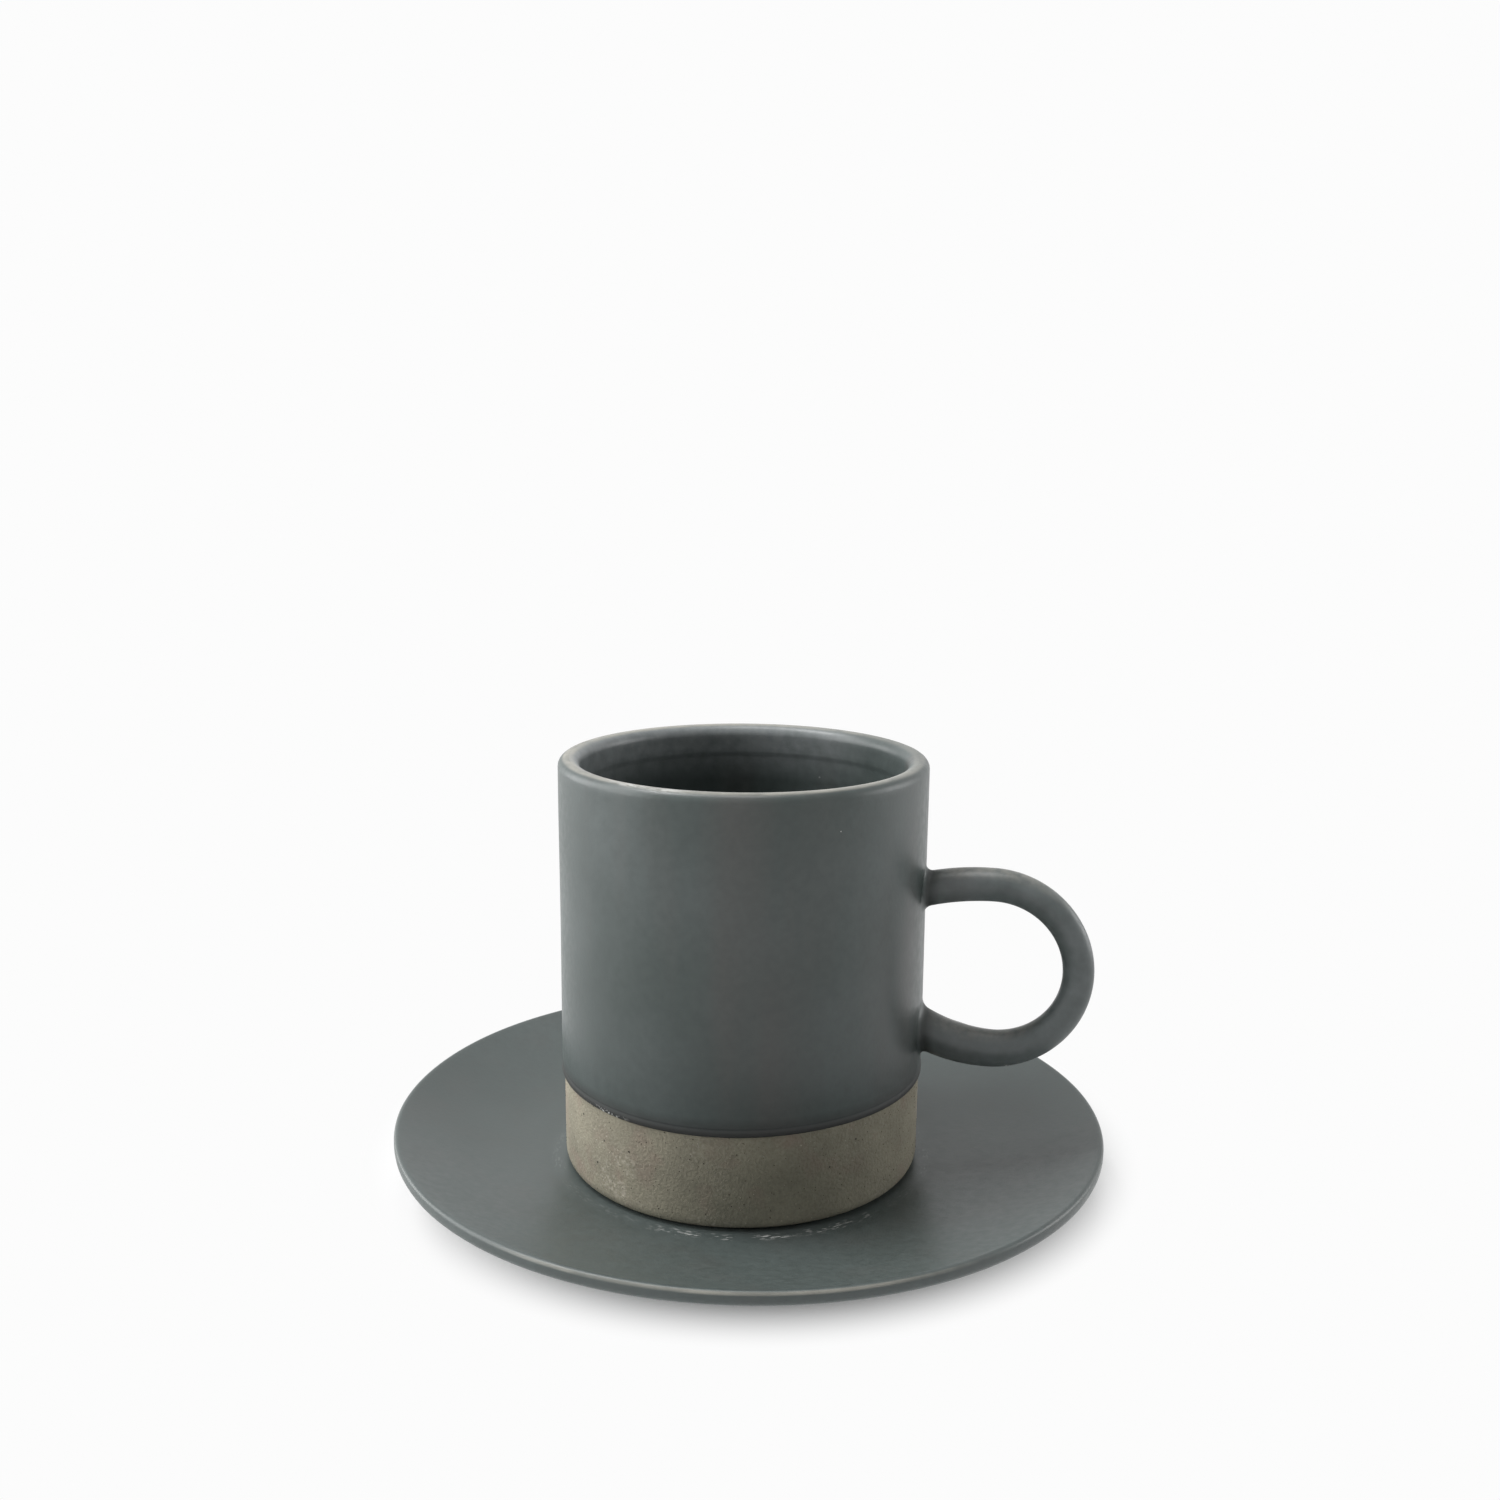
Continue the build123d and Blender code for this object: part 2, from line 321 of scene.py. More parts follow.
def scatter_tree():
    """Sets small rough grains in the outside of a turned wall, between two heights."""
    tree, given = new_tree("Grains", {"Lowest": 0.0, "Highest": 0.01, "Outside of": 0.0, "Density": 1e6,
                                      "Grain": 0.0001, "Seed": 1})
    split, _, radius = from_axis(add(tree, "InputPosition"))
    above = add(tree, "Math", (split["Z"], given["Lowest"]), operation="GREATER_THAN")
    below = add(tree, "Math", (split["Z"], given["Highest"]), operation="LESS_THAN")
    outside = add(tree, "Math", (radius, given["Outside of"]), operation="GREATER_THAN")
    points = add(tree, "DistributePointsOnFaces",
                 {"Mesh": given["Geometry"], "Selection": mask(above, below, outside),
                  "Density": given["Density"], "Seed": given["Seed"]})
    grain = add(tree, "MeshIcoSphere", {"Radius": given["Grain"], "Subdivisions": 1})
    lengths = add(tree, "RandomValue", {0: GRAIN_LEAST, 1: GRAIN_MOST, "Seed": given["Seed"]},
                  data_type="FLOAT_VECTOR")
    turn = add(tree, "RandomValue", {2: 0.0, 3: tau, "Seed": given["Seed"]})
    about = add(tree, "CombineXYZ", {2: turn.outputs[1]})
    spun = add(tree, "RotateRotation", (points.outputs["Rotation"], about), rotation_space="LOCAL")
    return close_tree(tree, given, add(
        tree, "InstanceOnPoints",
        {"Points": points, "Instance": grain, "Rotation": spun, "Scale": lengths}))


def finish_mesh(piece):
    """Makes what the modifiers give the piece's own plain mesh."""
    graph = bpy.context.evaluated_depsgraph_get()
    mesh = bpy.data.meshes.new_from_object(piece.evaluated_get(graph), depsgraph=graph)
    piece.modifiers.clear()
    piece.data = mesh
    mesh.name = piece.name


def new_piece(name, data):
    """An object at the origin."""
    piece = bpy.data.objects.new(name, data)
    bpy.context.scene.collection.objects.link(piece)
    return piece


def grow(piece, tree, values):
    """Runs a tree on the piece with these values for its named inputs, and keeps the result."""
    modifier = piece.modifiers.new(tree.name, "NODES")
    modifier.node_group = tree
    for item in tree.interface.items_tree:
        if item.in_out == "INPUT" and item.name in values:
            modifier[item.identifier] = values[item.name]
    finish_mesh(piece)


def row_of_points(name, points, joined=False):
    """A new piece that holds only points, or a line through them."""
    mesh = bpy.data.meshes.new(name)
    edges = [(index, index + 1) for index in range(len(points) - 1)] if joined else []
    mesh.from_pydata(points, edges, [])
    return new_piece(name, mesh)


def cup_values(ware, maker):
    """The irregularities of the cup, and its material."""
    return {"Swell": ware.hand.swell, "Wave": ware.hand.wave, "Seed": ware.hand.seed,
            "Material": shared(maker, ware)}


def saucer_values(ware, maker):
    """The irregularities of the saucer, and its material."""
    return {**cup_values(ware, maker), "Seed": ware.hand.seed + 1, "Lean": tuple(ware.hand.saucer_lean),
            "Shift": tuple(ware.hand.saucer_shift), "Drawn from": ware.saucer.ring_radius,
            "Drawn to": SAUCER_RADIUS}


def hand_over(piece, body, slot, node=None):
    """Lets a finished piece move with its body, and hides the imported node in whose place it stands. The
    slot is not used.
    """
    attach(piece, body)
    if node:
        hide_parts(node)
    return {"FINISHED"}


def turn_piece(name, points, columns, values, *places):
    """Turns a piece from its section, and hands it over."""
    piece = row_of_points(name, [(point.x, 0, point.y) for point in points])
    grow(piece, turned_tree(), {"Columns": columns, **values})
    return hand_over(piece, *places)


# Materials

CHIP_TURN = radians(-123)  # where the edge of the dip is chipped, round from the handle
SCUFF_TURN = radians(-117)  # where the clay has been knocked
SCUFF_HEIGHT = 0.005  # above the foot
LIP_SHADE_TURN = radians(25)  # where the lip and the band under it inside are painted darker, as shade
LIP_GLINT_TURN = radians(-107)  # where the lip is worn and carries painted glints
WORN_TURN = radians(-72)  # where the foot mostly comes down on the saucer
RIM_HIGHLIGHT_TURN = radians(-79)  # where the saucer's edge carries its painted highlight, over glaze thin on the edge
STREAK = 0.35  # streaks round the ware are this many times as high as they are long
RUN = 0.12  # and runs down the walls this many times as wide as they are high
SATIN = (0.33, 0.43)  # roughness of the glaze, from place to place
SILICATE_IOR = 1.5  # glaze, which is a glass, and fired clay


def material(name):
    """A new material with an empty tree."""
    made = bpy.data.materials.new(name)
    made.use_nodes = True
    made.node_tree.nodes.clear()
    return made, made.node_tree


def opaque(values):
    """A colour with full alpha."""
    return (*values, 1.0)


def patches(place, width, low, high, detail=3.0, least=0.0, most=1.0):
    """Soft patches about this wide: least where their noise is under low, most where it is over high."""
    noise = add(place.id_data, "TexNoise", {"Vector": place, "Scale": 1 / width, "Detail": detail})
    return mask((noise, low, high, least, most))


def flecks(place, spacing, width, share):
    """Small flecks of up to this width, in this share of cells that lie this far apart."""
    tree = place.id_data
    cells = add(tree, "TexVoronoi", {"Vector": place, "Scale": 1 / spacing}).outputs
    chance = add(tree, "SeparateColor", [cells["Color"]])
    reach = mask((chance, 1 - share, 1.0, 0.0, width / spacing / 2))
    return add(tree, "Math", (cells["Distance"], reach), operation="LESS_THAN")


def away_from(place, radius, turn, height):
    """The distance from a point that is given by its radius, its turn round the axis and its height."""
    point = (radius * cos(turn), radius * sin(turn), height)
    return add(place.id_data, "VectorMath", (place, point), operation="DISTANCE").outputs["Value"]


def layered(ware, base, layers, grain=None, spread=0.0):
    """A colour with others laid over it in turn, each by its mask, and then made darker and lighter by the
    grain, by up to the spread."""
    base = opaque(getattr(ware.finish, base))
    for share, tone in layers:
        inputs = {0: share, 6: base, 7: opaque(getattr(ware.finish, tone))}
        base = add(share.id_data, "Mix", inputs, data_type="RGBA").outputs[2]
    if grain is None:
        return base
    tint = mask((grain, 0.0, 1.0, 1 - spread, 1 + spread))
    return add(grain.id_data, "VectorMath", {0: base, "Scale": tint}, operation="SCALE")


def fired(tree, inputs):
    """Ends a material in its shader."""
    add(tree, "OutputMaterial", [add(tree, "BsdfPrincipled", {"IOR": SILICATE_IOR, **inputs})])


def satin_slate_glaze(ware):
    """Satin slate glaze, dipped and fired: dark and even, with soft clouds, faint runs down the walls and
    an orange peel. It is deep where it gathers at the edge of the dip and where the handle leaves the
    wall, with painted shade in the crease above the dip's roll and in the creases at the handle's roots.
    It is thin and pale on the lip, just inside it, over the handle and on the saucer's edge, and painted
    light lies there too: a painted highlight along the lip and the front of the saucer's edge, painted
    light on the upper inside wall and over the handle, most on its top, and less of it on the lip and
    inside near the handle. It is worn on the lip, with painted glints there, and where the cup's foot
    rubs the saucer."""
    made, tree = material("satin_slate_glaze")
    coordinates = add(tree, "TexCoord").outputs
    place = coordinates["Object"]
    facing = add(tree, "SeparateXYZ", [coordinates["Normal"]]).outputs["Z"]
    split, _, radius = from_axis(place)
    height = split["Z"]
    angle = add(tree, "Math", (split["Y"], split["X"]), operation="ARCTAN2")
    streaked = add(tree, "CombineXYZ", (mask(angle, CUP_RADIUS * STREAK), radius, height))
    drawn = add(tree, "Mapping", {"Vector": place, "Scale": (1.0, 1.0, RUN)})

    # over all of the ware, and fainter on the saucer
    line = FOOT + ware.cup.glaze_line
    on_saucer = add(tree, "Math", (height, FOOT + ware.cup.glaze_line * 0.8), operation="LESS_THAN")
    even = mask((on_saucer, 0.0, 1.0, 1.0, 0.4))
    clouds = mask(even, patches(place, 0.022, 0.35, 0.65))
    runs = mask(even, patches(drawn, 0.011, 0.5, 0.75, 2.0, 0.0, 0.55))
    mottle = patches(place, 0.0014, 0.3, 0.7, 2.0)

    # the edge of the dip, where the glaze gathers, with painted shade in the crease where its roll runs into
    # the wall
    dip = add(tree, "Attribute", attribute_name="dip_edge").outputs["Fac"]
    edge = mask((dip, 0.25, 0.85, 0.0, 0.95))
    # painted shade: a dark line in the crease where the roll of the dip runs into the wall, over glaze lying
    # thick there
    crease = mask((dip, 0.62, 0.67), (dip, 0.72, 0.67), patches(streaked, 0.004, 0.3, 0.55, 2.0, 0.35, 0.95))
    knocked = away_from(place, CUP_RADIUS, CHIP_TURN, line)
    edge_chips = mask((dip, 0.8, 0.9), patches(place, 0.0005, 0.54, 0.6), (knocked, 0.006, 0.002))

    # the lip, with a painted highlight and painted glints, and the band under it inside, with painted light
    lip_top = CUP_TOP + COAT
    # round this turn the lip and the band under it inside are painted darker, as shade
    thick = away_from(place, CUP_RADIUS, LIP_SHADE_TURN, lip_top)
    # painted highlight along the top of the lip, over glaze thin and pale there
    lip = mask((height, lip_top - 0.0004, lip_top - 0.0001), (facing, 0.78, 0.97),
               patches(streaked, 0.0018, 0.3, 0.6, 4.0, 0.35, 0.9), (thick, 0.008, 0.034, 0.35, 1.0))
    # worn glaze on the lip, with painted glints on it
    glint_wear_from = away_from(place, CUP_RADIUS, LIP_GLINT_TURN, lip_top)
    lip_wear_and_glints = mask(lip, (glint_wear_from, 0.009, 0.004), patches(streaked, 0.0005, 0.4, 0.55, 3.0, 0.1, 1.0))
    under_lip = lip_top - ware.cup.ring_drop
    inside = add(tree, "Math", (radius, CUP_RADIUS - ware.cup.wall / 2), operation="LESS_THAN")
    # thin glaze and painted light on the upper inside wall, fading downwards
    thin = mask((height, under_lip - 0.005, under_lip + 0.001), inside,
                patches(place, 0.0021, 0.34, 0.6, 3.0, 0.75, 1.0), (thick, 0.012, 0.03, 0.1, 1.0))

    # the handle, with painted light on it, and the creases at its roots, with painted shade
    arm = mask((radius, CUP_RADIUS + 0.0012, CUP_RADIUS + 0.004), (height, line, line + 0.001))
    # glaze pooled in the creases where the handle leaves the wall, with painted shade there
    root = mask((radius, CUP_RADIUS + 0.0006, CUP_RADIUS + 0.001),
                (radius, CUP_RADIUS + 0.003, CUP_RADIUS + 0.0015), (height, line, line + 0.001, 0.0, 0.7))
    # pale thin glaze over the handle, with painted light
    arm_pale_and_lit = mask(arm, patches(place, 0.004, 0.3, 0.7, 3.0, 0.2, 0.45))
    # painted light on the upward-facing top of the handle
    arm_top = mask(arm, (facing, 0.5, 0.95), patches(place, 0.0012, 0.36, 0.62, 3.0, 0.15, 0.5))

    # the saucer's edge, with a painted highlight along its front, and the well where the foot rubs it
    front = away_from(place, SAUCER_RADIUS, RIM_HIGHLIGHT_TURN, SAUCER_TOP)
    # painted highlight along the front of the saucer's edge, over glaze thin there
    rim = mask(on_saucer, (radius, SAUCER_RADIUS - 0.0035, SAUCER_RADIUS - 0.0025),
               (facing, 0.92, 0.75), (facing, 0.1, 0.4), patches(streaked, 0.002, 0.3, 0.6, 3.0, 0.25, 0.8),
               (front, 0.036, 0.022, 0.05))
    off = add(tree, "Math", (radius, CUP_RADIUS + ware.cup.foot_edge * 0.8), operation="SUBTRACT")
    off = add(tree, "Math", [off], operation="ABSOLUTE")
    worn = away_from(place, CUP_RADIUS, WORN_TURN, FOOT)
    rub = mask(on_saucer, (off, 0.0012, 0.0002), patches(streaked, 0.0004, 0.52, 0.62, 3.0, 0.0, 0.9),
               patches(place, 0.004, 0.42, 0.56, 2.0), (worn, 0.02, 0.014, 0.1))
    chips = mask(flecks(place, 0.004, 0.0004, 0.12), patches(place, 0.03, 0.45, 0.5))

    base = layered(ware, "glaze", [
        (clouds, "glaze_deep"), (runs, "glaze_warm"), (edge, "glaze_pooled"), (crease, "glaze_crease"),
        (thin, "glaze_inner"), (arm_pale_and_lit, "glaze_inner"), (root, "glaze_pooled"), (arm_top, "glaze_thin"),
        (lip, "glaze_thin"), (lip_wear_and_glints, "speck"), (rim, "glaze_thin"), (rub, "speck"), (chips, "speck"),
        (edge_chips, "speck")], mottle, 0.06)
    pooled = add(tree, "Math", (edge, root), operation="MAXIMUM")
    roughness = add(tree, "Math", (
        mask((mottle, 0.0, 1.0, *SATIN)), mask((pooled, 0.0, 0.9, 0.0, 0.2))), operation="ADD")
    peel = patches(place, 0.0007, 0.0, 1.0, 2.0)
    bump = add(tree, "Bump", {"Height": peel, "Strength": 0.25, "Distance": 0.00006})
    fired(tree, {"Base Color": base, "Roughness": roughness, "Normal": bump})
    return made


def bare_stoneware(ware):
    """Bare fired stoneware, turned and sponged: matte and warm grey, finely speckled, with rosy clouds,
    small pits, and pale scuffs where the ware has been handled."""
    made, tree = material("bare_stoneware")
    place = add(tree, "TexCoord").outputs["Object"]
    grit = patches(place, 0.00045, 0.3, 0.7)
    scuffs = mask(patches(place, 0.0006, 0.52, 0.7, 4.0, 0.0, 0.8), patches(place, 0.009, 0.58, 0.7, 1.0))
    knocked = away_from(place, CUP_RADIUS, SCUFF_TURN, FOOT + SCUFF_HEIGHT)
    knocks = mask((knocked, 0.007, 0.002), patches(place, 0.0006, 0.48, 0.62, 4.0, 0.0, 0.75),
                  patches(place, 0.0022, 0.44, 0.56, 2.0))
    pits = flecks(place, 0.0016, 0.0005, 0.25)
    base = layered(ware, "clay", [
        (patches(place, 0.008, 0.4, 0.7, 4.0, 0.0, 0.8), "clay_dark"),
        (patches(place, 0.006, 0.55, 0.75, 2.0, 0.0, 0.6), "clay_rosy"),
        (patches(place, 0.0011, 0.6, 0.75, 3.0, 0.0, 0.5), "clay_dark"),
        (scuffs, "clay_pale"), (knocks, "clay_pale"), (pits, "pit")], grit, 0.12)
    hollow = add(tree, "Math", (grit, pits), operation="SUBTRACT")
    bump = add(tree, "Bump", {"Height": hollow, "Strength": 0.6, "Distance": 0.00008})
    fired(tree, {"Base Color": base, "Roughness": 0.88, "Normal": bump})
    return made


def grog(ware):
    """Grog: crushed fired clay in the stoneware body, seen as small dark and pale grains."""
    made, tree = material("grog")
    place = add(tree, "TexCoord").outputs["Object"]
    kinds = patches(place, 0.0009, 0.42, 0.62, 0.0)
    base = layered(ware, "pit", [(kinds, "clay_pale")])
    fired(tree, {"Base Color": base, "Roughness": 0.8, "Specular IOR Level": 0.3})
    return made


def shared(maker, ware):
    """The material that a maker gives, made once."""
    return bpy.data.materials.get(maker.__name__) or maker(ware)


# Sections

FACET = 0.4  # the most that a rounding turns between two of its points, in radians
CUP_SPACING = 0.0008  # between the points of a section
SAUCER_SPACING = 0.001
SAUCER_COAT_SPACING = 0.0008
HIDDEN = 0.1  # share of the saucer's coat that its hidden side lies off the clay
RECESS_EDGE = 0.0006  # roundings that the sponge leaves: of the hollow under the cup
FOOT_EDGE = 0.0004  # of the band that it stands on, inside
RING_EDGE = 0.0005  # of the saucer's foot ring
ROLL_EDGE = 0.0003  # of the roll at the edge of the dip
ROLL_ROOT = 0.0006  # and where it runs into the wall
STEP_SOFTNESS = 0.002  # of the step inside, under the lip
STEP_FALL = 0.0008  # height of that step


def rounding_points(before, corner, after, radius, spacing):
    """Points on the arc that rounds a corner of a section."""
    back = (before - corner).normalized()
    on = (after - corner).normalized()
    half_angle = back.angle(on) / 2
    centre = corner + (back + on).normalized() * (radius / sin(half_angle))
    spoke = corner + back * (radius / tan(half_angle)) - centre
    turn = pi - 2 * half_angle
    steps = max(2, ceil(turn / FACET), ceil(turn * radius / spacing))
    if back.cross(on) > 0:
        turn = -turn
    return [centre + Matrix.Rotation(turn * step / steps, 2) @ spoke for step in range(steps + 1)]


def outline(corners, spacing):
    """Points along a section whose corners are each a radius, a height and perhaps a rounding."""
    places = [Vector(corner[:2]) for corner in corners]
    points = []
    for index, corner in enumerate(corners):
        if len(corner) == 2:
            points.append(places[index])
        else:
            points += rounding_points(*places[index - 1:index + 2], corner[2], spacing / 2)
    cut = [points[0]]
    for start, end in zip(points, points[1:]):
        pieces = ceil((end - start).length / spacing)
        cut += [start.lerp(end, step / pieces) for step in range(1, pieces + 1)]
    return cut


def cup_clay_section(sizes):
    """The clay of the cup, from the hollow under it out, up the wall and down inside."""
    ring_inner = CUP_RADIUS - sizes.foot_edge - sizes.foot_ring
    inside = CUP_RADIUS - sizes.wall
    recess = FOOT + sizes.recess
    return outline([
        (0, recess),
        (ring_inner - sizes.recess_run, recess, RECESS_EDGE),
        (ring_inner, FOOT, FOOT_EDGE),
        (CUP_RADIUS, FOOT, sizes.foot_edge),
        (CUP_RADIUS, CUP_TOP, sizes.lip_outside - COAT / 2),
        (inside, CUP_TOP, sizes.lip_inside - COAT / 2),
        (inside, FOOT + sizes.floor, sizes.inner_corner),
        (0, FOOT + sizes.floor),
    ], CUP_SPACING)


def cup_coat_section(sizes, spacing):
    """The outside of the cup's coat, from the glaze line up over the lip and down to the floor. Its points
    lie twice as far apart below the ring inside, where the wall is plain."""
    outside = CUP_RADIUS + COAT
    inside = CUP_RADIUS - sizes.wall - COAT
    deep = inside + sizes.ring_step
    top = CUP_TOP + COAT
    crest = outside + sizes.roll
    ring = top - sizes.ring_drop
    below = (deep, ring - STEP_SOFTNESS)
    floor = FOOT + sizes.floor + COAT
    line = FOOT + sizes.glaze_line
    shoulder = outline([
        (CUP_RADIUS - 0.0001, line),
        (crest, line + 0.0001, ROLL_EDGE),
        (crest, line + sizes.roll_height * 0.6, ROLL_EDGE),
        (outside, line + sizes.roll_height, ROLL_ROOT),
        (outside, top, sizes.lip_outside),
        (inside, top, sizes.lip_inside),
        (inside, ring, STEP_SOFTNESS),
        (deep, ring - STEP_FALL, STEP_SOFTNESS),
        below,
    ], spacing)
    return shoulder + outline([below, (deep, floor, sizes.inner_corner - COAT), (0, floor)], 2 * spacing)[1:]


def saucer_corners(sizes, coat):
    """Corners of the saucer's rising part, for its clay grown by a coat: the foot and the top of the
    well's step, and the edge above and below."""
    floor_top = sizes.ring_height + sizes.floor
    step_foot = (CUP_RADIUS + sizes.well_play - coat * 0.3, floor_top + coat)
    step_top = (step_foot[0] + sizes.well_run, step_foot[1] + sizes.well_depth)
    edge_top = (SAUCER_RADIUS + coat, SAUCER_TOP + coat)
    return step_foot, step_top, edge_top, (edge_top[0], edge_top[1] - sizes.edge - 2 * coat)


def sagging(start, end, dish, pieces=12):
    """Points between two places on a line that sags."""
    points = []
    for share in [step / pieces for step in range(1, pieces)]:
        point = Vector(start).lerp(Vector(end), share)
        points.append((point.x, point.y - dish * 4 * share * (1 - share)))
    return points


def saucer_face(sizes, coat):
    """Corners from the saucer's edge below, over the edge and the face, to the middle."""
    step_foot, step_top, edge_top, edge_foot = saucer_corners(sizes, coat)
    return [
        (*edge_foot, sizes.edge_below - (COAT - coat)),
        (*edge_top, sizes.edge_above - (COAT - coat) / 2),
        *sagging(edge_top, step_top, sizes.dish),
        (*step_top, sizes.well_softness),
        (*step_foot, sizes.well_softness),
        (0, step_foot[1]),
    ]


def saucer_clay_section(sizes):
    """The clay of the saucer, from the middle of its underside out over the ring and back on top."""
    ring_inner = sizes.ring_radius - sizes.ring_width
    ring_root = (sizes.ring_radius + sizes.ring_lean, sizes.ring_height)
    return outline([
        (0, sizes.ring_height),
        (ring_inner - sizes.ring_lean, sizes.ring_height, RING_EDGE),
        (ring_inner, 0, RING_EDGE),
        (sizes.ring_radius, 0, RING_EDGE),
        ring_root,
        *sagging(ring_root, saucer_corners(sizes, 0)[3], sizes.dish / 3),
        *saucer_face(sizes, 0),
    ], SAUCER_SPACING)


def saucer_coat_section(sizes):
    """The coat of the saucer: its hidden side from the middle out, then its face back to the middle."""
    ring_root = (sizes.ring_radius + sizes.ring_lean, sizes.ring_height)
    step_foot, step_top, edge_top, edge_foot = saucer_corners(sizes, COAT * HIDDEN)
    wiped = (ring_root[0] + sizes.wiped, ring_root[1] + sizes.wiped * 0.12)
    return outline([
        (0, step_foot[1]),
        step_foot,
        step_top,
        *reversed(sagging(edge_top, step_top, sizes.dish)),
        (*edge_top, sizes.edge_above - COAT / 2),
        (*edge_foot, sizes.edge_below - COAT),
        *reversed(sagging(ring_root, edge_foot, sizes.dish / 3)),
        wiped,
        (wiped[0] + 0.0003, wiped[1] - COAT * 1.1, COAT * 0.35),
        *sagging((ring_root[0], ring_root[1] - COAT), saucer_corners(sizes, COAT)[3], sizes.dish / 3)[1:],
        *saucer_face(sizes, COAT),
    ], SAUCER_COAT_SPACING)


# The handle, and the cup's coat with the handle in it

WINDOW = 6  # columns, and rows, from the middle of an opening in the wall to its sides
WALL_RINGS = 4  # rings between that opening and the flare
FLARE_RINGS = 8
FLARE_HOLD = 0.55  # how far the flare keeps its direction at each end, as a share of it
COIL_RINGS = 150  # along the free part of the coil
CORNER_TURN = -3 * pi / 4  # round the coil, to the lower left corner of an opening
POOL_HEIGHT = 0.004  # how far the glaze that gathers at the edge of the dip shows up the wall
STRAY_HEIGHT = 0.012  # how far up the wall that edge's wave is felt


class CoilLine:
    """Centre line of the handle: an arc out of the wall, a half circle, and an arc back into it."""

    def __init__(self, ware):
        sizes = ware.handle
        out = CUP_RADIUS + sizes.reach - sizes.loop_radius
        middle = FOOT + sizes.loop_height
        run = out - (CUP_RADIUS - ware.cup.wall / 2)
        upper, upper_turn = self.arm(run, sizes.upper_drop)
        lower, lower_turn = self.arm(run, sizes.lower_rise)
        self.arcs = [
            (Vector((out, middle + sizes.loop_radius - upper)), upper, pi / 2 + upper_turn, pi / 2),
            (Vector((out, middle)), sizes.loop_radius, pi / 2, -pi / 2),
            (Vector((out, middle - sizes.loop_radius + lower)), lower, -pi / 2, -pi / 2 - lower_turn),
        ]
        self.lengths = [radius * (start - end) for _, radius, start, end in self.arcs]
        self.length = sum(self.lengths)

    @staticmethod
    def arm(run, drop):
        """Radius and angle of an arc that leaves level and falls by the drop over the run."""
        radius = (run * run + drop * drop) / (2 * drop)
        return radius, atan2(run, radius - drop)

    def along(self, distance, at_start):
        """The distance along the line of a place that is this far from its start or its end."""
        return distance if at_start else self.length - distance

    def at(self, distance):
        """The point at a distance along the line, and the direction there."""
        for (centre, radius, start, _), length in zip(self.arcs, self.lengths):
            if distance <= length or length is self.lengths[-1]:
                break
            distance -= length
        turn = start - distance / radius
        point = Vector((centre.x + radius * cos(turn), 0, centre.y + radius * sin(turn)))
        return point, Vector((sin(turn), 0, -cos(turn)))


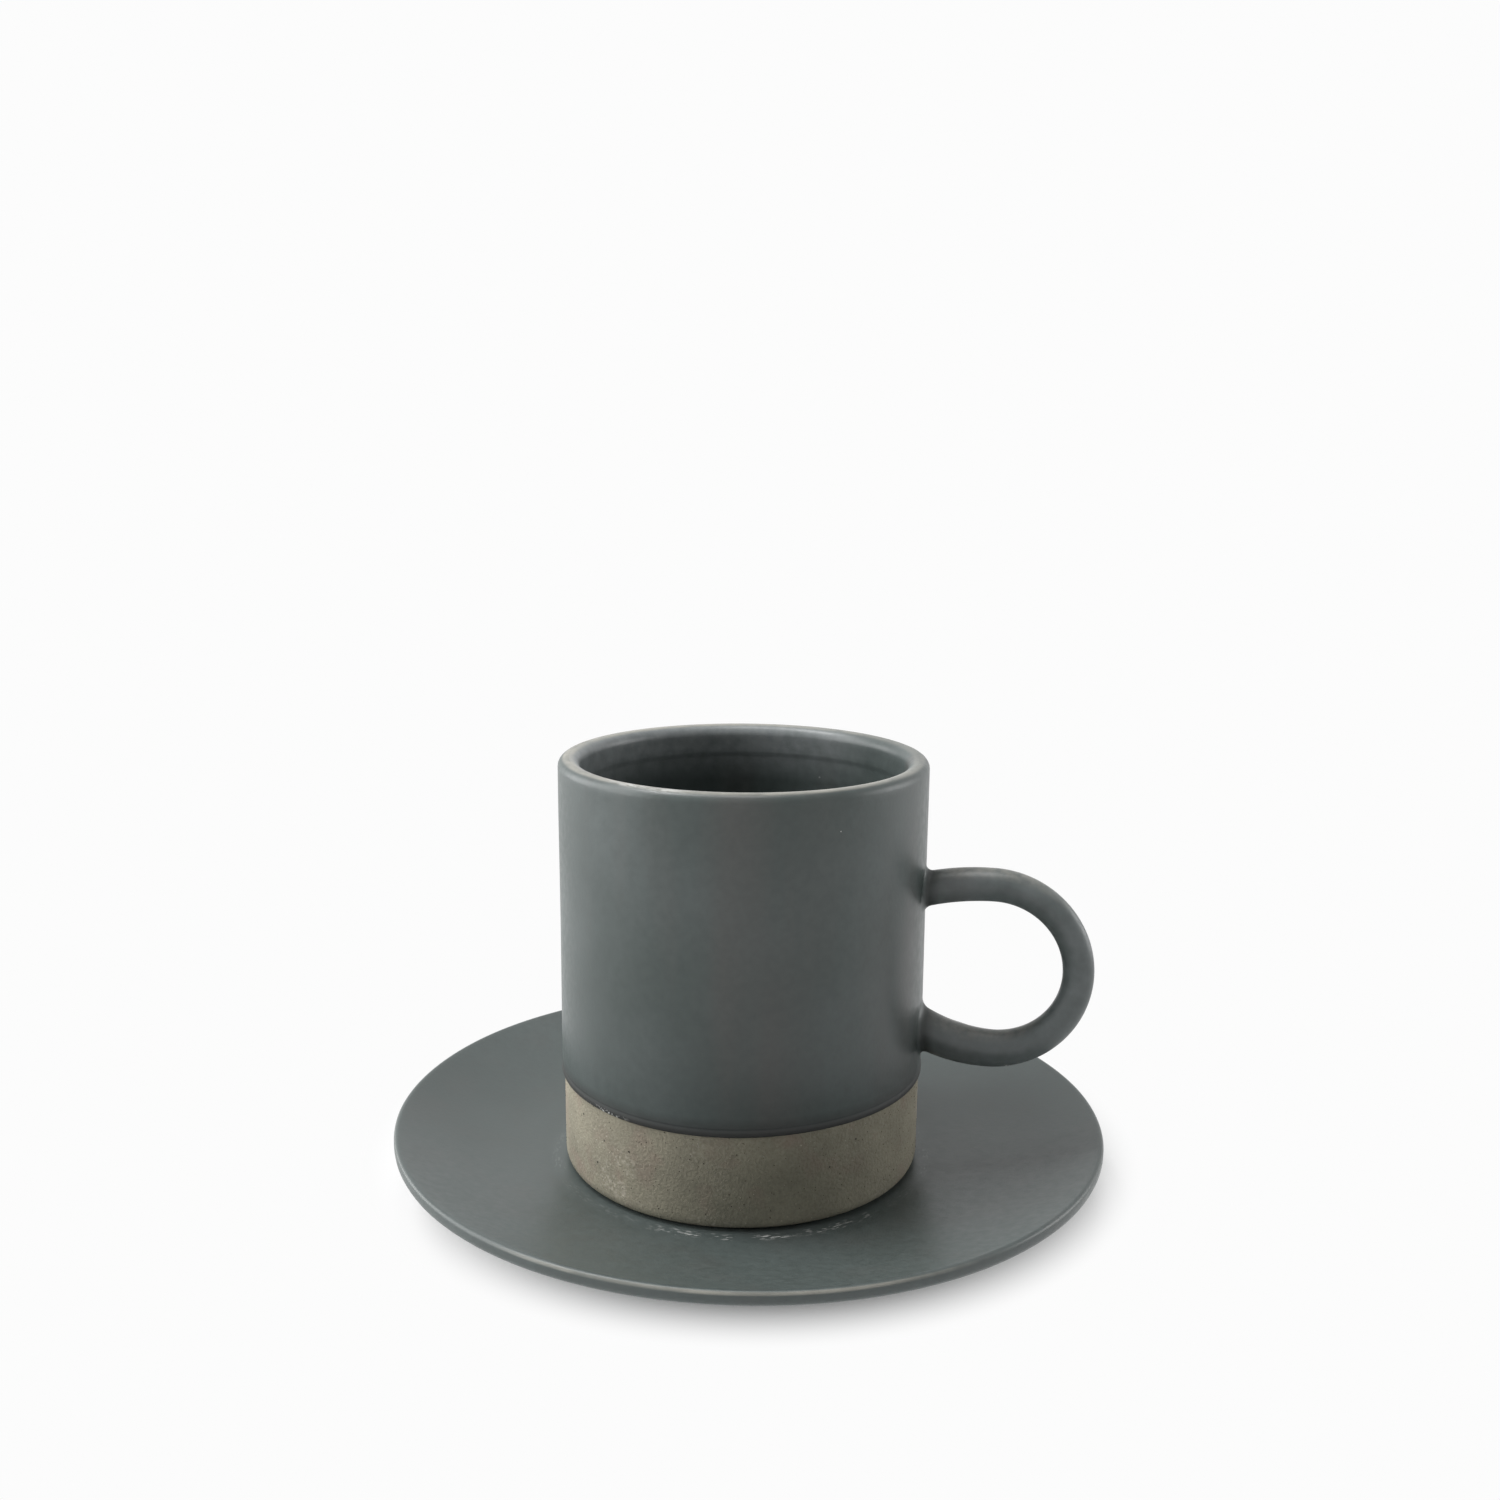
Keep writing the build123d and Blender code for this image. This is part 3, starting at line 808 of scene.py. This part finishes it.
class CoatMesh:
    """Mesh of the cup's coat: a turned grid with two openings, from which the handle's coil grows."""

    def __init__(self, ware):
        self.ware = ware
        self.radius = CUP_RADIUS + COAT
        self.glaze_line = FOOT + ware.cup.glaze_line
        self.line = CoilLine(ware)
        self.section = cup_coat_section(ware.cup, tau * self.radius / CUP_COLUMNS)
        self.bm = bmesh.new()
        self.dip_edge = self.bm.verts.layers.float.new("dip_edge")

    def stray_at(self, angle, height):
        """How far the edge of the dip is from level at an angle. It fades out up the wall."""
        fade = max(0.0, 1 - (height - self.glaze_line) / STRAY_HEIGHT)
        wave = sin(angle + 0.7) * 0.6 + sin(2 * angle + 2.1) * 0.3 + sin(5 * angle) * 0.12
        return self.ware.hand.line_stray * wave * fade * fade

    def on_wall(self, place):
        """The point of the wall at a place that is given by its distance round it and its height."""
        angle = place.x / self.radius
        return Vector((self.radius * cos(angle), self.radius * sin(angle), place.y))

    def join(self, rings):
        """Faces between each ring of points and the next."""
        for outer, inner in zip(rings, rings[1:]):
            for index, corner in enumerate(outer):
                after = (index + 1) % len(outer)
                self.bm.faces.new((corner, outer[after], inner[after], inner[index]))

    def ring(self, places):
        """New points."""
        return [self.bm.verts.new(place) for place in places]

    def grid(self):
        """The turned grid, with its openings left out. It returns its rows of points."""
        rows = []
        outer_wall = True
        for point in self.section[:-1]:
            outer_wall = outer_wall and point.y < CUP_TOP - 0.002
            row = []
            for column in range(CUP_COLUMNS):
                angle = tau * column / CUP_COLUMNS
                height = point.y + (self.stray_at(angle, point.y) if outer_wall else 0)
                row += self.ring([(point.x * cos(angle), point.x * sin(angle), height)])
                if outer_wall:
                    row[-1][self.dip_edge] = max(0.0, 1 - (point.y - self.glaze_line) / POOL_HEIGHT)
            rows.append(row)
        [pole] = self.ring([(0, 0, self.section[-1].y)])
        for column, corner in enumerate(rows[-1]):
            self.bm.faces.new((corner, rows[-1][(column + 1) % CUP_COLUMNS], pole))
        openings = [self.opening(at_start) for at_start in (True, False)]
        for row, (lower, upper) in enumerate(zip(rows, rows[1:])):
            closed = not any(first <= row < first + 2 * WINDOW for first in openings)
            for column in range(CUP_COLUMNS):
                if closed or WINDOW <= column < CUP_COLUMNS - WINDOW:
                    after = (column + 1) % CUP_COLUMNS
                    self.bm.faces.new((lower[column], lower[after], upper[after], upper[column]))
        return rows

    def crossing(self, at_start):
        """How far from its start or its end the coil's line comes out of the wall."""
        low, high = 0.0, 0.006
        for _ in range(40):
            middle = (low + high) / 2
            point, _ = self.line.at(self.line.along(middle, at_start))
            low, high = (middle, high) if point.x < self.radius else (low, middle)
        return low

    def opening(self, at_start):
        """First row of the opening for one end of the coil."""
        point, _ = self.line.at(self.line.along(self.crossing(at_start), at_start))
        wall = [index for index, place in enumerate(self.section) if abs(place.x - self.radius) < 1e-7]
        return min(wall, key=lambda index: abs(self.section[index].y - point.z)) - WINDOW

    def border(self, rows, first):
        """The points round an opening, anticlockwise as seen from outside, from its lower left."""
        last = first + 2 * WINDOW
        columns = range(-WINDOW, WINDOW + 1)
        places = [(first, column) for column in columns]
        places += [(row, WINDOW) for row in range(first + 1, last)]
        places += [(last, column) for column in reversed(columns)]
        places += [(row, -WINDOW) for row in range(last - 1, first, -1)]
        return [rows[row][column] for row, column in places]

    def coil_radius(self, share):
        """Radius of the glazed coil at a share of its length."""
        sizes = self.ware.handle
        root = sizes.upper_diameter if share < 0.5 else sizes.lower_diameter
        return (sizes.crown_diameter + (root - sizes.crown_diameter) * cos(pi * share) ** 2) / 2 + COAT

    def coil_point(self, distance, turn):
        """The point of the coil's surface at a distance along its line, and a turn round it."""
        point, direction = self.line.at(distance)
        up = Vector((-direction.z, 0, direction.x))
        share = min(1.0, max(0.0, distance / self.line.length))
        ridges = sin(3 * turn + 2 * share) * 0.6 + sin(5 * turn - 3 * share) * 0.4
        radius = self.coil_radius(share) * (1 + self.ware.hand.pull * ridges)
        return point + Vector((0, radius * cos(turn), 0)) + up * (radius * sin(turn))

    def root(self, rows, at_start):
        """Bridges from an opening onto the coil. It returns the last ring and each point's distance
        along the coil's line, both in the order of the coil's sides."""
        border = self.border(rows, self.opening(at_start))
        count = len(border)
        crossing = self.crossing(at_start)
        start = self.line.along(crossing, at_start)
        centre, direction = self.line.at(start)
        if not at_start:
            direction = -direction
        up = Vector((-direction.z, 0, direction.x))
        radius = self.coil_radius(start / self.line.length)
        flare = self.ware.handle.flare
        hold = flare * FLARE_HOLD
        strands, distances = [], []
        for index, vertex in enumerate(border):
            turn = CORNER_TURN + tau * index / count
            side = radius * cos(turn)
            lift = radius * sin(turn)
            reach = (sqrt(self.radius ** 2 - side ** 2) - centre.x - lift * up.x) / direction.x
            meeting = centre + Vector((0, side, 0)) + up * lift + direction * reach
            across = self.radius * atan2(meeting.y, meeting.x)
            outward = Vector((across, meeting.z - centre.z)).normalized()
            foot = Vector((across, meeting.z)) + outward * flare
            edge = Vector((self.radius * atan2(vertex.co.y, vertex.co.x), vertex.co.z))
            strand = [self.on_wall(edge.lerp(foot, step / WALL_RINGS)) for step in range(1, WALL_RINGS + 1)]
            angle = foot.x / self.radius
            tangent = Vector((-sin(angle) * outward.x, cos(angle) * outward.x, outward.y))
            distances.append(self.line.along(crossing + reach + flare, at_start))
            head = self.coil_point(distances[-1], turn if at_start else -turn)
            foot = self.on_wall(foot)
            towards = foot - tangent * hold
            before = head - direction * hold
            for share in [step / FLARE_RINGS for step in range(1, FLARE_RINGS + 1)]:
                strand.append(foot * (1 - share) ** 3 + towards * 3 * share * (1 - share) ** 2
                              + before * 3 * share ** 2 * (1 - share) + head * share ** 3)
            strands.append(strand)
        rings = [border, *[self.ring(places) for places in zip(*strands)]]
        self.join(rings)
        order = range(count)
        if not at_start:
            order = [(3 * count // 4 - index) % count for index in order]
        return [rings[-1][index] for index in order], [distances[index] for index in order]

    def build(self):
        """The whole mesh."""
        rows = self.grid()
        start_ring, starts = self.root(rows, True)
        end_ring, ends = self.root(rows, False)
        rings = [start_ring]
        for share in [step / COIL_RINGS for step in range(1, COIL_RINGS)]:
            rings.append(self.ring(
                self.coil_point(start * (1 - share) + end * share, CORNER_TURN + tau * index / len(starts))
                for index, (start, end) in enumerate(zip(starts, ends))))
        self.join([*rings, end_ring])
        loose = [vertex for vertex in self.bm.verts if not vertex.link_faces]
        bmesh.ops.delete(self.bm, geom=loose, context="VERTS")
        for face in self.bm.faces:
            face.smooth = True
        mesh = bpy.data.meshes.new("cup_coat")
        self.bm.to_mesh(mesh)
        self.bm.free()
        return mesh


# Operators

GRAIN = 0.00011  # radius of a grain of grog
GRAIN_MARGINS = (0.0004, 0.0002, 0.002)  # from the foot, from the glaze line, and inwards from the wall
GRAIN_DENSITY = 4e5  # grains to the square metre
LINE_STEPS = 120  # along the centre line of the handle's clay
COAT_DEPTH = 0.9  # share of the coat's thickness that its mesh has, so that it clears the clay


class WARE_OT_cup_clay(bpy.types.Operator):
    """Turn the clay of the cup"""
    bl_idname = "ware.cup_clay"
    bl_label = "Cup clay"

    def execute(self, context):
        ware = context.scene.ware
        return turn_piece("cup_clay", cup_clay_section(ware.cup), CUP_COLUMNS,
                          cup_values(ware, bare_stoneware), "cup", "clay", "cup_body")


class WARE_OT_cup_grains(bpy.types.Operator):
    """Set grog in the bare band of the cup"""
    bl_idname = "ware.cup_grains"
    bl_label = "Cup grains"

    def execute(self, context):
        ware = context.scene.ware
        piece = new_piece("cup_grains", bpy.data.objects["cup_clay"].data.copy())
        grow(piece, scatter_tree(), {
            "Lowest": FOOT + GRAIN_MARGINS[0], "Highest": FOOT + ware.cup.glaze_line - GRAIN_MARGINS[1],
            "Outside of": CUP_RADIUS - GRAIN_MARGINS[2], "Density": GRAIN_DENSITY, "Grain": GRAIN,
            "Seed": ware.hand.seed, "Material": shared(grog, ware)})
        return hand_over(piece, "cup", "clay")


class WARE_OT_handle_clay(bpy.types.Operator):
    """Pull the clay coil of the handle"""
    bl_idname = "ware.handle_clay"
    bl_label = "Handle clay"

    def execute(self, context):
        ware = context.scene.ware
        line = CoilLine(ware)
        points = [line.at(line.length * step / LINE_STEPS)[0] for step in range(LINE_STEPS + 1)]
        piece = row_of_points("handle_clay", points, joined=True)
        grow(piece, coil_tree(), {
            "Start radius": ware.handle.upper_diameter / 2, "Middle radius": ware.handle.crown_diameter / 2,
            "End radius": ware.handle.lower_diameter / 2, "Material": shared(bare_stoneware, ware)})
        return hand_over(piece, "cup", "clay", "cup_handle")


class WARE_OT_cup_coat(bpy.types.Operator):
    """Dip the cup and its handle in glaze"""
    bl_idname = "ware.cup_coat"
    bl_label = "Cup coat"

    def execute(self, context):
        ware = context.scene.ware
        piece = new_piece("cup_coat", CoatMesh(ware).build())
        grow(piece, hand_tree(), cup_values(ware, satin_slate_glaze))
        shell = piece.modifiers.new("Coat", "SOLIDIFY")
        shell.thickness = COAT * COAT_DEPTH
        shell.offset = -1
        finish_mesh(piece)
        return hand_over(piece, "cup", "glaze", "cup_glaze")


class WARE_OT_saucer_clay(bpy.types.Operator):
    """Turn the clay of the saucer"""
    bl_idname = "ware.saucer_clay"
    bl_label = "Saucer clay"

    def execute(self, context):
        ware = context.scene.ware
        return turn_piece("saucer_clay", saucer_clay_section(ware.saucer), SAUCER_COLUMNS,
                          saucer_values(ware, bare_stoneware), "saucer", "clay", "saucer_body")


class WARE_OT_saucer_coat(bpy.types.Operator):
    """Dip the saucer in glaze"""
    bl_idname = "ware.saucer_coat"
    bl_label = "Saucer coat"

    def execute(self, context):
        ware = context.scene.ware
        return turn_piece("saucer_coat", saucer_coat_section(ware.saucer), SAUCER_COAT_COLUMNS,
                          saucer_values(ware, satin_slate_glaze), "saucer", "glaze", "saucer_glaze")


CAMERA_TURN = radians(13)  # the handle stands this far towards the camera
CAMERA_AWAY = 0.23805  # from the cup's axis, level
CAMERA_HEIGHT = 0.11526  # above the cup's foot
CAMERA_PITCH = 0.1938  # radians down, then to the right, then round the line of sight
CAMERA_YAW = 0.0039
CAMERA_ROLL = 0.0088
CAMERA_LENS = 36.03  # mm, on a frame 36 mm wide
FLOOR_HALF = 3.0
SHADOW_DRIFT = 0.0186  # the middle of the floor's painted shadow lies this far from the axis
SHADOW_TURN = radians(96.5)  # which way, round from +X
SHADOW_START = 0.0539  # from that middle to where the painted shadow begins to fade
SHADOW_END = 0.0694  # and to where it is gone
DIM = 0.07  # strength of the world as a light
LAMP_DISTANCE = 0.8
LAMPS = (  # degrees round from the camera towards its right, degrees up, width, watts
    ("left_lamp", -90, 42, 0.45, 2.3),
    ("left_high_lamp", -100, 65, 0.25, 3.0),
    ("left_low_lamp", -78, 12, 0.45, 2.3),
    ("left_back_lamp", -114, 12, 0.45, 2.2),
    ("right_low_lamp", 100, 12, 0.45, 2.1),
    ("front_lamp", -20, 42, 0.45, 0.2),
    ("top_lamp", 0, 90, 0.25, 1.4),
)


def seen_rays(tree):
    """One for rays from the camera and in reflections and refractions, and nought for the rest."""
    rays = add(tree, "LightPath").outputs
    seen = add(tree, "Math", (rays["Is Camera Ray"], rays["Is Glossy Ray"]), operation="MAXIMUM")
    return add(tree, "Math", (seen, rays["Is Transmission Ray"]), operation="MAXIMUM")


class WARE_OT_stage(bpy.types.Operator):
    """Set up the floor, the light and the camera"""
    bl_idname = "ware.stage"
    bl_label = "Stage"

    def execute(self, context):
        scene = context.scene
        scene.view_settings.view_transform = "Standard"
        self.floor()
        self.surroundings(scene)
        for lamp in LAMPS:
            self.lamp(*lamp)
        self.camera(scene)
        return {"FINISHED"}

    def floor(self):
        """A pale floor, seen white beyond a painted shadow round the object, inside which the lit floor
        shows with the object's own shadow.
        """
        mesh = bpy.data.meshes.new("floor")
        corners = [(x * FLOOR_HALF, y * FLOOR_HALF, 0) for x, y in ((-1, -1), (1, -1), (1, 1), (-1, 1))]
        mesh.from_pydata(corners, [], [range(4)])
        made, tree = material("white_floor")
        place = add(tree, "TexCoord").outputs["Object"]
        away = away_from(place, SHADOW_DRIFT, SHADOW_TURN, 0)
        # painted shadow: the glow gives way to the lit floor inside a circle round a point behind the axis
        open_floor = add(tree, "MapRange", (away, SHADOW_START, SHADOW_END), interpolation_type="SMOOTHSTEP")
        diffuse = add(tree, "BsdfDiffuse", [opaque(linear("#FAFAFA"))])
        glow = add(tree, "Emission", [opaque(linear("#FCFCFC"))])
        mixed = add(tree, "MixShader", (mask(seen_rays(tree), open_floor), diffuse, glow))
        add(tree, "OutputMaterial", [mixed])
        mesh.materials.append(made)
        new_piece("floor", mesh)

    def surroundings(self, scene):
        """A world that is seen white, and lights the object dimly."""
        world = bpy.data.worlds.new("white_room")
        world.use_nodes = True
        tree = world.node_tree
        tree.nodes.clear()
        dim = add(tree, "Background", (opaque(linear("#FFFFFF")), DIM))
        white = add(tree, "Background", (opaque(linear("#FCFCFC")), 1.0))
        add(tree, "OutputWorld", [add(tree, "MixShader", (seen_rays(tree), dim, white))])
        scene.world = world

    def lamp(self, name, around, up, width, power):
        """A soft square lamp that faces the middle of the cup."""
        lamp = bpy.data.lights.new(name, "AREA")
        lamp.shape = "SQUARE"
        lamp.size = width
        lamp.energy = power
        turn = CAMERA_TURN + radians(around)
        direction = Vector((sin(turn), -cos(turn), 0)) * cos(radians(up)) + Vector((0, 0, sin(radians(up))))
        piece = new_piece(name, lamp)
        piece.location = Vector((0, 0, CUP_TOP / 2)) + direction * LAMP_DISTANCE
        piece.rotation_euler = direction.to_track_quat("Z", "Y").to_euler()

    def camera(self, scene):
        """A camera where the photograph was taken from."""
        camera = bpy.data.cameras.new("camera")
        camera.sensor_width = 36
        camera.lens = CAMERA_LENS
        camera.clip_start = 0.01
        piece = new_piece("camera", camera)
        heading = Vector((-sin(CAMERA_TURN), cos(CAMERA_TURN), 0))
        piece.location = Vector((0, 0, FOOT + CAMERA_HEIGHT)) - heading * CAMERA_AWAY
        heading.rotate(Matrix.Rotation(-CAMERA_YAW, 3, "Z"))
        forward = heading * cos(CAMERA_PITCH) - Vector((0, 0, sin(CAMERA_PITCH)))
        look = forward.to_track_quat("-Z", "Y").to_matrix() @ Matrix.Rotation(CAMERA_ROLL, 3, "Z")
        piece.rotation_euler = look.to_euler()
        scene.camera = piece


class WARE_PT_panel(bpy.types.Panel):
    """The ware's sizes and finishes, and what builds it"""
    bl_idname = "WARE_PT_panel"
    bl_label = "Cup and saucer"
    bl_space_type = "VIEW_3D"
    bl_region_type = "UI"
    bl_category = "Ware"

    def draw(self, context):
        for group in ("cup", "handle", "saucer", "hand", "finish"):
            box = self.layout.box()
            box.label(text=group.capitalize())
            values = getattr(context.scene.ware, group)
            for name in values.__annotations__:
                box.prop(values, name)
        for operator in OPERATORS:
            self.layout.operator(operator.bl_idname)


OPERATORS = (WARE_OT_cup_clay, WARE_OT_cup_grains, WARE_OT_handle_clay, WARE_OT_cup_coat,
             WARE_OT_saucer_clay, WARE_OT_saucer_coat, WARE_OT_stage)
CLASSES = (CupSizes, HandleSizes, SaucerSizes, HandWork, Finish, Ware, *OPERATORS, WARE_PT_panel)


def register():
    """Makes the groups, the operators and the panel known."""
    for item in CLASSES:
        bpy.utils.register_class(item)
    bpy.types.Scene.ware = PointerProperty(type=Ware)


def unregister():
    """Takes them out again."""
    del bpy.types.Scene.ware
    for item in reversed(CLASSES):
        bpy.utils.unregister_class(item)


def main():
    """Builds everything."""
    register()
    bpy.ops.ware.cup_clay()
    bpy.ops.ware.cup_grains()
    bpy.ops.ware.handle_clay()
    bpy.ops.ware.cup_coat()
    bpy.ops.ware.saucer_clay()
    bpy.ops.ware.saucer_coat()
    bpy.ops.ware.stage()


if __name__ == "__main__":
    main()
